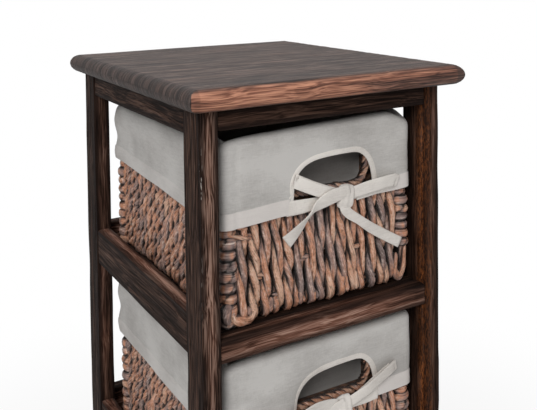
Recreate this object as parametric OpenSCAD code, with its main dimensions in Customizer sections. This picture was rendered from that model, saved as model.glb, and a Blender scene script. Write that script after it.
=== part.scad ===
/* [Board] */
// Thickness of the top board, which is also the diameter of its round edges
board_t = 20; // [14:0.5:24]
// How far the board reaches past the front of the posts
board_front_overhang = 19.5; // [10:0.5:30]
// How far the board reaches past each side of the posts
board_side_overhang = 16.5; // [8:0.5:28]

/* [Posts] */
// Width of the rack over the outer faces of the posts
rack_w = 260; // [250:2:340]
// Depth of the rack over the outer faces of the posts
rack_d = 313; // [310:1:380]
// Width of a post, seen from the front
post_w = 18; // [17:0.5:22]
// Depth of a post, seen from the side
post_d = 34.5; // [30:0.5:40]
// Radius of the rubbed edges of the posts
post_edge_r = 2; // [1:0.5:4]
// Clear height from the floor to the lowest rails
foot_gap = 44; // [20:1:100]

/* [Rails] */
// Clear height of a bay, from a front rail up to the rail above it
bay_h = 177; // [172:1:240]
// Height of the front rails below the baskets
front_rail_h = 21; // [18:0.5:30]
// Height of the side and back rails, which stand above the shelf slats
side_rail_h = 39; // [36:1:50]
// Height of the front rail under the board
top_front_rail_h = 19.5; // [16:0.5:24]
// Height of the side and back rails under the board
top_side_rail_h = 25.5; // [18:0.5:27]
// Thickness of every rail
rail_t = 15.6; // [14:0.2:17]
// How far the rails are set back from the outer faces of the posts
rail_inset = 1.2; // [0.4:0.2:2]
// Radius of the rubbed edges of the rails
rail_edge_r = 2; // [1:0.5:4]

/* [Shelf slats] */
// Number of slats that carry each basket
slat_count = 5; // [3:1:6]
// Width of a slat
slat_w = 34; // [20:1:38]
// Thickness of a slat
slat_t = 9; // [6:0.5:11]
// Width of the bearer strip that carries the slat ends
bearer_w = 12; // [8:1:20]
// Height of the bearer strip
bearer_h = 10; // [8:1:12]
// Gap between a slat end and the side rail
slat_end_gap = 0.3; // [0.2:0.1:1]

/* [Joinery] */
// Radius of the beech dowels
dowel_r = 3; // [2.5:0.25:3.5]
// Depth of a dowel in a post
dowel_in_post = 12; // [8:1:13]
// Depth of a dowel in the end grain of a rail
dowel_in_rail = 15; // [10:1:25]
// Height between the two dowels of a tall rail
dowel_spacing = 20; // [16:1:24]
// Depth of an upright dowel in the board
dowel_in_board = 10; // [6:1:11]
// Depth of an upright dowel in the top of a post
dowel_in_post_top = 7; // [5:0.5:8]
// Radial clearance of a dowel or a screw in its hole
hole_fit = 0.05; // [0.02:0.01:0.1]
// Radius of the screw shanks
screw_r = 1.75; // [1.5:0.25:2]
// Radius of the screw heads
screw_head_r = 3.4; // [3:0.2:4]
// Height of the countersunk screw heads
screw_head_h = 2.2; // [1.6:0.2:3]
// Depth of the board screws in the board
screw_in_board = 11; // [8:1:12]
// Depth of the bearer screws in the side rails
screw_in_rail = 9; // [6:1:12]

/* [Basket] */
// Gap between a basket and the posts on each side
basket_side_gap = 9; // [6:0.5:14]
// Gap between the back of a basket and the back rail
basket_back_gap = 17.2; // [8:0.2:40]
// Height between the rim rope of a basket and the rail above it
basket_headroom = 15; // [12:0.5:24]
// How far a basket front stands back from the front of the posts
basket_setback = 15; // [10:1:20]
// Gap under a basket, where it rests on the front rail and the slats
seat_gap = 0.3; // [0.2:0.1:0.5]
// Radius of an upright strand
strand_r = 5.5; // [4:0.1:5.7]
// Spacing of the strands
strand_pitch = 11.6; // [11.6:0.1:16]
// Thickness of the woven wall behind the strands
wall_t = 5; // [4:0.5:7]
// Thickness of the woven bottom
base_t = 5; // [3:0.5:8]
// Radius of the wrapped corner columns
wrap_r = 7.2; // [7:0.1:8]
// Height of one wrap on a corner column
wrap_pitch = 8; // [6:0.5:12]
// Radius of the rope around the rim
rim_r = 5.5; // [4:0.25:6]
// Radius of the steel wire inside the basket
wire_r = 1.6; // [1:0.1:2]
// Gap between parts of a basket that lie against each other
lay_gap = 0.2; // [0.1:0.05:0.4]

/* [Hand hole] */
// Distance of the hand hole from the middle of the basket front
hole_x = 12; // [-20:1:20]
// Width of the hand hole in the weave
hole_w = 86; // [60:1:110]
// Height of the wall that is left above the hand hole
hole_rim_gap = 4.2; // [3:0.2:12]
// Height of the hand hole
hole_h = 37; // [24:1:38]
// Radius of the corners of the hand hole
hole_corner_r = 5; // [3:0.5:10]
// Radius of the rope along the edge of the hand hole
hole_rope_r = 4; // [3:0.25:4.5]

/* [Liner] */
// Thickness of the cotton cloth
cloth_t = 1.2; // [0.8:0.1:1.6]
// Height of the flap that is folded over the outside
flap_h = 70; // [60:1:80]
// Height of the casing along the lower edge of the flap
casing_h = 14; // [8:1:16]
// Thickness of the casing
casing_t = 1.8; // [1.7:0.1:2.4]
// Width of the arched opening in the front flap
arch_w = 99; // [80:1:110]
// Height of the arched opening
arch_h = 50; // [42:1:54]
// Radius of the upper corners of the arch
arch_r = 28; // [16:1:34]
// Width of the binding along the arch
binding_w = 5.5; // [3:0.5:8]
// Thickness of the binding
binding_t = 2.4; // [2:0.1:3]

/* [Tie] */
// Distance of the knot from the middle of the hand hole
knot_offset = 12; // [-16:1:16]
// Width of the tie tapes
tape_w = 11; // [8:0.5:11]
// Thickness of a folded tape
tape_t = 2.4; // [1.6:0.2:3]
// Width of the knot
knot_w = 15; // [14:1:26]
// Height of the knot
knot_h = 20; // [12:1:22]
// Thickness of the knot
knot_t = 7; // [5:0.5:9]
// Length of a bow loop from the middle of the knot
loop_l = 60; // [40:1:66]
// Rise of the left bow loop, in degrees
left_loop_rise_angle = 20; // [0:1:40]
// Rise of the right bow loop, in degrees
right_loop_rise_angle = 5; // [0:1:40]
// Length of the left tape end from the middle of the knot
left_tail_l = 75; // [40:1:80]
// Length of the right tape end from the middle of the knot
right_tail_l = 86; // [40:1:90]
// Fall of the left tape end, in degrees
left_tail_fall_angle = 25; // [15:1:60]
// Fall of the right tape end, in degrees
right_tail_fall_angle = 44; // [15:1:60]

/* [Hidden] */
$fn = 48;
levels = 3;
sides = [-1, 1];
side_names = ["left", "right"];
depth_names = ["front", "back"];
parts_of_a_level = ["front_rail", "back_rail", "left_rail", "right_rail", "bearers", "slats"];
parts_of_a_basket = ["walls", "strands", "base", "rim", "corner_wraps", "wire_frame", "liner",
                     "binding", "tie"];

dark_wood = "#4b3a33";
board_wood = "#5f524c";
pale_wood = "#c9a777";
steel = "#9a9da1";
strand_brown = "#94735e";
cotton = "#d6d1c8";
white_cotton = "#e6e2db";

cut = 1;
board_w = rack_w + 2 * board_side_overhang;
board_d = rack_d + board_front_overhang;
level_pitch = bay_h + front_rail_h;
post_h = foot_gap + levels * level_pitch + top_front_rail_h;
shelf_h = post_h + board_t;
front_y = board_front_overhang - board_d / 2;
back_y = front_y + rack_d;
rack_y = (front_y + back_y) / 2;
post_x = (rack_w - post_w) / 2;
inner_w = rack_w - 2 * post_w;
inner_d = rack_d - 2 * post_d;
side_rail_x = rack_w / 2 - rail_inset - rail_t / 2;
front_rail_y = front_y + rail_inset + rail_t / 2;
back_rail_y = back_y - rail_inset - rail_t / 2;
rail_gap_w = 2 * side_rail_x - rail_t;
slat_field_d = inner_d - 2 * slat_end_gap;
slat_step = (slat_field_d - slat_w) / (slat_count - 1);
slat_edge_r = 1;
bearer_screw_shares = [-0.4, 0, 0.4];
board_screw_share = 0.3;

basket_w = inner_w - 2 * basket_side_gap;
basket_d = rack_d - basket_setback - rail_inset - rail_t - basket_back_gap;
basket_h = bay_h - basket_headroom;
strand_off = strand_r + lay_gap / 2;
wall_off = 2 * strand_r + lay_gap;
wrap_off = wrap_r + lay_gap;
corner_r_limit = (wrap_r + lay_gap - sqrt(2) * (wall_off - wrap_off)) / (sqrt(2) - 1);
wall_corner_r = round_down(corner_r_limit);
wall_inner_off = wall_off + wall_t;
wire_off = wall_off + wall_t / 2;
wire_corner_r = wall_corner_r - wall_t / 2;
wire_z = wire_r + lay_gap;
wall_z = wire_z + wire_r + lay_gap;
rim_z = basket_h - rim_r;
rim_under = basket_h - 2 * rim_r - lay_gap;
top_wire_z = rim_under - lay_gap - wire_r;
wall_top = top_wire_z - wire_r - lay_gap;
hole_z = wall_top - hole_rim_gap - hole_h;
rim_off = rim_r + lay_gap;
rim_corner_r = wrap_off + lay_gap;
liner_top = basket_h + lay_gap + cloth_t;
flap_z = liner_top - flap_h;
lining_off = wall_inner_off + lay_gap;
lining_corner_r = max(wall_corner_r - wall_t, 2);
flap_corner_r = wrap_off + lay_gap;
front_face = -basket_d / 2;
tie_z = flap_z + casing_h / 2;
tie_y = front_face - lay_gap - max(casing_t, binding_t) - lay_gap;

// A derived size cut down to a tenth of a millimetre
function round_down(size) = floor(size * 10) / 10;
// Height of the underside of the rails of a level, counted from the top
function rail_z(n) = foot_gap + (levels - n) * level_pitch;
// Height of the bottom of a basket
function basket_z(n) = rail_z(n) + front_rail_h + seat_gap;
// Centre of the basket along the depth
basket_y = front_y + basket_setback + basket_d / 2;
// Places of the strands along a side of the given length
strand_run = function(side) side - 2 * (wrap_off + wrap_r + lay_gap);
strand_count = function(side) floor(strand_run(side) / strand_pitch);
strand_places = function(side) let (n = strand_count(side), step = strand_run(side) / n)
    [for (i = [0:n - 1]) -strand_run(side) / 2 + (i + 0.5) * step];

// Rectangle with round corners, centred
module rounded_rect(w, d, r) {
    square([w - 2 * r, d], center = true);
    square([w, d - 2 * r], center = true);
    for (x = sides, y = sides) translate([x * (w / 2 - r), y * (d / 2 - r)]) circle(r);
}

// Strip with half-round ends, centred
module round_ended(w, t) {
    square([w - t, t], center = true);
    for (x = sides) translate([x * (w - t) / 2, 0]) circle(t / 2);
}

// Bar along X, centred, with rubbed edges
module bar_x(l, d, h, r) {
    translate([-l / 2, 0, 0]) rotate([90, 0, 90]) linear_extrude(l) rounded_rect(d, h, r);
}

// Bar along Y, centred, with rubbed edges
module bar_y(l, w, h, r) {
    rotate([0, 0, 90]) bar_x(l, w, h, r);
}

// Rod along X, starting at the origin
module rod_x(l, r) {
    rotate([0, 90, 0]) cylinder(h = l, r = r);
}

// Closed ring of round section that follows a rectangle with round corners
module tube_ring(w, d, corner_r, r) {
    for (s = sides) {
        translate([-(w / 2 - corner_r), s * d / 2, 0]) rod_x(w - 2 * corner_r, r);
        translate([s * w / 2, -(d / 2 - corner_r), 0]) rotate(90) rod_x(d - 2 * corner_r, r);
    }
    for (q = [0:3]) {
        sx = (q == 0 || q == 3) ? 1 : -1;
        sy = (q < 2) ? 1 : -1;
        translate([sx * (w / 2 - corner_r), sy * (d / 2 - corner_r), 0]) rotate(90 * q)
            rotate_extrude(angle = 90) translate([corner_r, 0]) circle(r);
    }
}

// Dowels that join a rail along X to the posts at both of its ends
module dowels_x(y, z, grow) {
    for (s = sides) translate([s * (inner_w / 2 + dowel_in_post + grow), y, z])
        rotate(s > 0 ? 180 : 0)
            rod_x(dowel_in_post + dowel_in_rail + 2 * grow, dowel_r + grow);
}

// Dowels that join a rail along Y to the posts at both of its ends
module dowels_y(x, z, grow) {
    for (s = sides) translate([x, rack_y + s * (inner_d / 2 + dowel_in_post + grow), z])
        rotate(s > 0 ? -90 : 90)
            rod_x(dowel_in_post + dowel_in_rail + 2 * grow, dowel_r + grow);
}

// All dowels of the rails, or with grow their holes
module rail_dowels(grow = 0) {
    for (n = [1:levels]) {
        dowels_x(front_rail_y, rail_z(n) + front_rail_h / 2, grow);
        for (s = sides) {
            z = rail_z(n) + side_rail_h / 2 + s * dowel_spacing / 2;
            dowels_x(back_rail_y, z, grow);
            for (x = sides) dowels_y(x * side_rail_x, z, grow);
        }
    }
    dowels_x(front_rail_y, post_h - top_front_rail_h / 2, grow);
    dowels_x(back_rail_y, post_h - top_side_rail_h / 2, grow);
    for (x = sides) dowels_y(x * side_rail_x, post_h - top_side_rail_h / 2 - dowel_r, grow);
}

// Upright dowels between the posts and the board, or with grow their holes
module board_dowels(grow = 0) {
    for (x = sides, y = sides)
        translate([x * post_x, rack_y + y * (rack_d - post_d) / 2,
                   post_h - dowel_in_post_top - grow])
            cylinder(h = dowel_in_post_top + dowel_in_board + 2 * grow, r = dowel_r + grow);
}

// Countersunk wood screw along Z, with its head down at the origin
module wood_screw(l, grow = 0) {
    cylinder(h = screw_head_h, r1 = screw_head_r + grow, r2 = screw_r + grow);
    cylinder(h = l + grow, r = screw_r + grow);
    if (grow > 0) translate([0, 0, -cut]) cylinder(h = cut, r = screw_head_r + grow);
}

// Screws that hold the board down on the side rails, or with grow their holes
module board_screw_set(grow = 0) {
    for (x = sides, y = sides)
        translate([x * side_rail_x, rack_y + y * board_screw_share * inner_d,
                   post_h - top_side_rail_h])
            wood_screw(top_side_rail_h + screw_in_board, grow);
}

// Screws that hold the bearer strips to the side rails, or with grow their holes
module bearer_screw_set(grow = 0) {
    for (n = [1:levels], x = sides, p = bearer_screw_shares)
        translate([x * (rail_gap_w / 2 - bearer_w), rack_y + p * inner_d,
                   rail_z(n) + front_rail_h - slat_t - bearer_h / 2])
            rotate([0, x * 90, 0]) wood_screw(bearer_w + screw_in_rail, grow);
}

// Board with full round edges that meet in a mitre at the corners
module top_board() {
    color(board_wood) difference() {
        translate([0, 0, post_h + board_t / 2]) intersection() {
            rotate([90, 0, 90]) linear_extrude(board_w + cut, center = true)
                round_ended(board_d, board_t);
            rotate([90, 0, 0]) linear_extrude(board_d + cut, center = true)
                round_ended(board_w, board_t);
        }
        board_dowels(hole_fit);
        board_screw_set(hole_fit);
    }
}

// Upright post, with the holes of its dowels
module post(x, y) {
    color(dark_wood) difference() {
        translate([x * post_x, rack_y + y * (rack_d - post_d) / 2, 0])
            linear_extrude(post_h) rounded_rect(post_w, post_d, post_edge_r);
        rail_dowels(hole_fit);
        board_dowels(hole_fit);
    }
}

// Rail across the front or the back
module cross_rail(y, z, h) {
    color(dark_wood) difference() {
        translate([0, y, z + h / 2]) bar_x(inner_w, rail_t, h, rail_edge_r);
        rail_dowels(hole_fit);
    }
}

// Rail along a side
module side_rail(x, z, h) {
    color(dark_wood) difference() {
        translate([x * side_rail_x, rack_y, z + h / 2]) bar_y(inner_d, rail_t, h, rail_edge_r);
        rail_dowels(hole_fit);
        board_screw_set(hole_fit);
        bearer_screw_set(hole_fit);
    }
}

// Pair of strips inside the side rails, under the slat ends
module bearers(n) {
    color(dark_wood) difference() {
        for (x = sides)
            translate([x * (rail_gap_w - bearer_w) / 2, rack_y,
                       rail_z(n) + front_rail_h - slat_t - bearer_h / 2])
                cube([bearer_w, inner_d, bearer_h], center = true);
        bearer_screw_set(hole_fit);
    }
}

// Slats that carry a basket, level with the top of the front rail
module slats(n) {
    color(dark_wood) for (i = [0:slat_count - 1])
        translate([0, rack_y - slat_field_d / 2 + slat_w / 2 + i * slat_step,
                   rail_z(n) + front_rail_h - slat_t / 2])
            bar_x(rail_gap_w - 2 * slat_end_gap, slat_w, slat_t, slat_edge_r);
}

module dowels() {
    color(pale_wood) {
        rail_dowels();
        board_dowels();
    }
}

module board_screws() {
    color(steel) board_screw_set();
}

module bearer_screws() {
    color(steel) bearer_screw_set();
}

// Puts a basket part in its bay
module in_bay(n) {
    translate([0, basket_y, basket_z(n)]) children();
}

// Space of the hand hole, from the front face through the weave
module hand_hole() {
    translate([hole_x, front_face - cut, hole_z + hole_h / 2]) rotate([-90, 0, 0])
        linear_extrude(wall_inner_off + 2 * cut) rounded_rect(hole_w, hole_h, hole_corner_r);
}

// Woven wall, a shell behind the strands with the corner wires in its thickness
module basket_walls(n) {
    color(strand_brown) in_bay(n) difference() {
        translate([0, 0, wall_z]) linear_extrude(wall_top - wall_z) difference() {
            rounded_rect(basket_w - 2 * wall_off, basket_d - 2 * wall_off, wall_corner_r);
            rounded_rect(basket_w - 2 * wall_inner_off, basket_d - 2 * wall_inner_off,
                         lining_corner_r);
        }
        corner_wires(hole_fit);
        hand_hole();
    }
}

// One upright strand with a round lower end
module strand(z0, z1) {
    translate([0, 0, z0 + strand_r]) {
        cylinder(h = z1 - z0 - strand_r, r = strand_r);
        sphere(strand_r);
    }
}

// Upright strands round the basket, and the rope along the edge of the hand hole
module basket_strands(n) {
    top = rim_under - lay_gap;
    hole_foot = hole_z - 2 * hole_rope_r - lay_gap;
    color(strand_brown) in_bay(n) {
        for (x = strand_places(basket_w)) {
            over_hole = abs(x - hole_x) < hole_w / 2 + strand_r;
            translate([x, front_face + strand_off, 0]) strand(lay_gap, over_hole ? hole_foot : top);
            translate([x, basket_d / 2 - strand_off, 0]) strand(lay_gap, top);
        }
        for (y = strand_places(basket_d), s = sides)
            translate([s * (basket_w / 2 - strand_off), y, 0]) strand(lay_gap, top);
        translate([hole_x - hole_w / 2, front_face + strand_off, hole_z - hole_rope_r])
            rod_x(hole_w, hole_rope_r);
    }
}

// Woven bottom inside the walls
module basket_base(n) {
    off = wall_inner_off + lay_gap;
    color(strand_brown) in_bay(n) translate([0, 0, lay_gap]) linear_extrude(base_t)
        rounded_rect(basket_w - 2 * off, basket_d - 2 * off, lining_corner_r);
}

// Rope along the rim, on top of the walls and the strands
module basket_rim(n) {
    color(strand_brown) in_bay(n) translate([0, 0, rim_z])
        tube_ring(basket_w - 2 * rim_off, basket_d - 2 * rim_off, rim_corner_r, rim_r);
}

// Corner columns, each a stack of wraps
module basket_corner_wraps(n) {
    h = rim_under - 2 * lay_gap;
    wraps = floor(h / wrap_pitch);
    step = h / wraps;
    bulge_r = step / 2 * 1.1;
    color(strand_brown) in_bay(n) for (x = sides, y = sides)
        translate([x * (basket_w / 2 - wrap_off), y * (basket_d / 2 - wrap_off), lay_gap])
            rotate_extrude() {
                square([wrap_r - bulge_r / 2, h]);
                intersection() {
                    square([wrap_r, h]);
                    for (i = [0:wraps - 1]) translate([wrap_r - bulge_r, (i + 0.5) * step])
                        circle(bulge_r);
                }
            }
}

// Four upright corner wires between the two rings, or with grow their channels in the walls
module corner_wires(grow = 0) {
    z0 = wire_z + wire_r + hole_fit;
    z1 = top_wire_z - wire_r - hole_fit;
    for (x = sides, y = sides)
        translate([x * (basket_w / 2 - wire_off - wire_corner_r - wire_r),
                   y * (basket_d / 2 - wire_off), z0 - grow])
            cylinder(h = z1 - z0 + 2 * grow, r = wire_r + grow);
}

// Welded wire frame: a ring at the bottom, a ring at the top and four uprights
module basket_wire_frame(n) {
    color(steel) in_bay(n) {
        corner_wires();
        for (z = [wire_z, top_wire_z]) translate([0, 0, z])
            tube_ring(basket_w - 2 * wire_off, basket_d - 2 * wire_off, wire_corner_r, wire_r);
    }
}

// Outline of a rectangle grown outwards over the strands
module over_strands(grow) {
    rounded_rect(basket_w + 2 * grow, basket_d + 2 * grow, flap_corner_r + grow);
}

// Outline of a rectangle inside the walls
module inside_walls(grow) {
    off = lining_off + grow;
    rounded_rect(basket_w - 2 * off, basket_d - 2 * off, max(lining_corner_r - grow, 1));
}

// Arch outline in the plane of the front flap, open at the lower edge
module arch_outline(grow) {
    r = arch_r + grow;
    translate([-arch_w / 2 - grow, -cut]) square([arch_w + 2 * grow, arch_h + cut - arch_r]);
    translate([-arch_w / 2 + arch_r, -cut]) square([arch_w - 2 * arch_r, arch_h + cut + grow]);
    for (s = sides) translate([s * (arch_w / 2 - arch_r), arch_h - arch_r]) circle(r);
}

// Extrudes an outline of the front flap's plane through a given thickness
module through_flap(y0, t) {
    translate([hole_x, y0 + t, flap_z]) rotate([90, 0, 0]) linear_extrude(t) children();
}

// Cotton liner: lining and bottom inside, fold over the rim, flap with casing outside
module basket_liner(n) {
    fold_z = liner_top - cloth_t;
    bottom_z = lay_gap + base_t + lay_gap;
    color(cotton) in_bay(n) difference() {
        union() {
            translate([0, 0, flap_z]) linear_extrude(flap_h) difference() {
                over_strands(lay_gap + cloth_t);
                over_strands(lay_gap);
            }
            translate([0, 0, flap_z]) linear_extrude(casing_h) difference() {
                over_strands(lay_gap + casing_t);
                over_strands(lay_gap);
            }
            translate([0, 0, fold_z]) linear_extrude(cloth_t) difference() {
                over_strands(lay_gap + cloth_t);
                inside_walls(cloth_t);
            }
            translate([0, 0, bottom_z]) linear_extrude(liner_top - bottom_z) difference() {
                inside_walls(0);
                inside_walls(cloth_t);
            }
            translate([0, 0, bottom_z]) linear_extrude(cloth_t) inside_walls(0);
        }
        through_flap(front_face - casing_t - cut, casing_t + cut) arch_outline(lay_gap);
    }
}

// Binding along the arch, over the cut edge of the flap
module basket_binding(n) {
    color(white_cotton) in_bay(n)
        through_flap(front_face - binding_t - lay_gap / 2, binding_t) intersection() {
            difference() {
                arch_outline(0);
                arch_outline(-binding_w);
            }
            translate([-arch_w / 2, 0]) square([arch_w, arch_h]);
        }
}

// Flat tape that starts at the origin and ends square, in the plane of the tie
module tape(l, slope) {
    rotate(slope) translate([0, -tape_w / 2]) square([l, tape_w]);
}

// Tie: the band across the arch, and a bow with its knot, two loops and two ends
module basket_tie(n) {
    band = arch_w - 2 * binding_w - 2 * lay_gap;
    knot_x = hole_x + knot_offset;
    color(white_cotton) in_bay(n) {
        translate([hole_x, front_face - lay_gap, tie_z]) rotate([90, 0, 0])
            linear_extrude(tape_t) square([band, tape_w], center = true);
        translate([knot_x, front_face - lay_gap, tie_z]) rotate([90, 0, 0])
            linear_extrude(knot_t) rounded_rect(knot_w, knot_h, knot_h / 3);
        translate([knot_x, tie_y, tie_z]) rotate([90, 0, 0]) linear_extrude(tape_t) {
            tape(loop_l, 180 - left_loop_rise_angle);
            tape(loop_l, right_loop_rise_angle);
            tape(left_tail_l, 180 + left_tail_fall_angle);
            tape(right_tail_l, -right_tail_fall_angle);
        }
    }
}

top_board();
for (j = [0:1], i = [0:1])
    post(sides[i], sides[j]);
cross_rail(front_rail_y, post_h - top_front_rail_h, top_front_rail_h);  // front_top_rail
cross_rail(back_rail_y, post_h - top_side_rail_h, top_side_rail_h);  // back_top_rail
for (i = [0:1])
    side_rail(sides[i], post_h - top_side_rail_h, top_side_rail_h);
for (n = [1:levels]) {
    cross_rail(front_rail_y, rail_z(n), front_rail_h);
    cross_rail(back_rail_y, rail_z(n), side_rail_h);
    for (i = [0:1])
        side_rail(sides[i], rail_z(n), side_rail_h);
    bearers(n);
    slats(n);
    basket_walls(n);
    basket_strands(n);
    basket_base(n);
    basket_rim(n);
    basket_corner_wraps(n);
    basket_wire_frame(n);
    basket_liner(n);
    basket_binding(n);
    basket_tie(n);
}
dowels();
board_screws();
bearer_screws();
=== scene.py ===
import math
import bpy
import numpy as np
from mathutils import Matrix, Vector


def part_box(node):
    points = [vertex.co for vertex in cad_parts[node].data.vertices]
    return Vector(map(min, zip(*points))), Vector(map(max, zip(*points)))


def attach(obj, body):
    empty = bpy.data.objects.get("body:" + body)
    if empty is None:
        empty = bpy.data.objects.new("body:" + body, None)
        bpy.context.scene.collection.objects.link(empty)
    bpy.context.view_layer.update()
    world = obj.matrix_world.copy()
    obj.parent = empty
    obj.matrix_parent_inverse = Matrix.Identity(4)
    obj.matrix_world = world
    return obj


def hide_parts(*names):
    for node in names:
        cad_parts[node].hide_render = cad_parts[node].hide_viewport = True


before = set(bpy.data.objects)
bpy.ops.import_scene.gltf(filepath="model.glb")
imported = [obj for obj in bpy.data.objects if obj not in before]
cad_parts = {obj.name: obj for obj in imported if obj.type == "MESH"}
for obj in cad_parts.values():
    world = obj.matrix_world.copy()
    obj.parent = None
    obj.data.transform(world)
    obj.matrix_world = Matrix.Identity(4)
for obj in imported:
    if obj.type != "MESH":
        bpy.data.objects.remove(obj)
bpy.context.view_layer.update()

# Camera: it stands at the front left, above the board, and is almost level. Its picture is shifted
# down far, as in the photograph, where the posts stay nearly parallel though the board is seen from
# above.


def add_object(name, data):
    """Adds an object with this data to the scene."""
    made = bpy.data.objects.new(name, data)
    bpy.context.scene.collection.objects.link(made)
    return made


PHOTO_W = 537
FOCAL_PX = 770.65
SHIFT_PX = 205.2
CAMERA_AT = (-0.39447, -0.71469, 0.77151)
camera_turn, camera_tilt, camera_roll = (math.radians(a) for a in (30.275, 2.211, -0.749))
camera_data = bpy.data.cameras.new("camera")
camera_data.sensor_width = 36
camera_data.lens = camera_data.sensor_width * FOCAL_PX / PHOTO_W
camera_data.shift_y = -SHIFT_PX / PHOTO_W
camera_data.clip_start = 0.01
camera = add_object("camera", camera_data)
camera.matrix_world = (
    Matrix.Translation(CAMERA_AT)
    @ Matrix.Rotation(-camera_turn, 4, "Z")
    @ Matrix.Rotation(math.pi / 2 - camera_tilt, 4, "X")
    @ Matrix.Rotation(camera_roll, 4, "Z"))
bpy.context.scene.camera = camera

# Top board: a slab of charred and brushed wood, with its grain from left to right. Its edges are
# rounded to full half circles that meet in a mitre at the corners. From here to the bow all sizes are
# in millimetres, which make_piece turns into metres, apart from materials and flat sizes of cloth.
MM = 0.001
HASH = (374761393, 668265263, 1274126177)
SEED_HASH = 1442695041
LOW_BITS = 0x7FFFFFFF


def stacked(*parts):
    """Arrays of one shape, or that stretch to one, as the last axis of a new array."""
    return np.stack(np.broadcast_arrays(*parts), -1)


def smooth_noise(points, seed=0):
    """Noise from -1 to 1: random values at the corners of unit cells, blended by 3t^2 - 2t^3. A value
    is a hash of its corner's coordinates and the seed."""
    points = np.asarray(points, float)
    cell = np.floor(points).astype(np.int64)
    t = points - cell
    t = t * t * (3 - 2 * t)
    total = 0
    for corner in np.ndindex(2, 2, 2):
        mixed = ((cell + corner) @ np.array(HASH) + seed * SEED_HASH) & LOW_BITS
        for shift, factor, extra in ((13, 1103515245, 12345), (15, 2654435761, 0)):
            mixed = ((mixed ^ (mixed >> shift)) * factor + extra) & LOW_BITS
        value = (mixed >> 8) / (2 ** 22 - 0.5) - 1
        total = total + value * np.prod(np.where(corner, t, 1 - t), axis=-1)
    return total


def run_along(path):
    """Length from the start of a path to each of its points."""
    return np.r_[0, np.cumsum(np.linalg.norm(np.diff(path, axis=0), axis=1))]


def bell(distance, width):
    """1 at no distance, and exp(-1) at the width."""
    return np.exp(-(distance / width) ** 2)


def grid_faces(rows, columns, first=0, wrap_rows=False, wrap_columns=True, caps=False, flip=False):
    """Quads of a grid of points numbered row by row from first, closed where it wraps, and faces over
    its first and last row if it has caps. A list of firsts gives as many grids."""
    r = np.arange(rows if wrap_rows else rows - 1)[:, None] * columns
    c = np.arange(columns if wrap_columns else columns - 1)
    r_next, c_next = (r + columns) % (rows * columns), (c + 1) % columns
    groups = [stacked(r + c, r + c_next, r_next + c_next, r_next + c).reshape(-1, 4)]
    if caps:
        ring = np.arange(columns)
        groups.append(np.array([ring[::-1], ring + (rows - 1) * columns]))
    firsts = np.reshape(first, (-1, 1, 1))
    return [(firsts + group[:, ::-1 if flip else 1]).reshape(-1, group.shape[1]) for group in groups]


def make_piece(name, body, slot, material, points, faces, origin=(0, 0, 0), replaces=(),
               thick=None, **attributes):
    """Makes a smooth mesh from points in millimetres, groups of faces, and attributes, which are numbers
    or vectors, and rides it on its body. If thick is given, the skin gets this thickness, half on each
    side."""
    mesh = bpy.data.meshes.new(name)
    points = np.reshape(points, (-1, 3)) * MM + np.array(origin)
    mesh.from_pydata(points.tolist(), [], sum((group.tolist() for group in faces), []))
    mesh.shade_smooth()
    for key, values in attributes.items():
        values = np.asarray(values, np.float32)
        vector = values.size == 3 * len(points)
        attribute = mesh.attributes.new(key, "FLOAT_VECTOR" if vector else "FLOAT", "POINT")
        attribute.data.foreach_set("vector" if vector else "value", values.ravel())
    mesh.materials.append(material)
    piece = add_object(name, mesh)
    if thick:
        solidify = piece.modifiers.new("thickness", "SOLIDIFY")
        solidify.thickness, solidify.offset = thick * MM, 0
    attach(piece, body)
    if replaces:
        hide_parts(*replaces)
    return piece


def shown(colour):
    """The shader's colour for one as it looks on a screen, given as three numbers from 0 to 255."""
    return (*(((c / 255 + 0.055) / 1.055) ** 2.4 for c in colour), 1)


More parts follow.
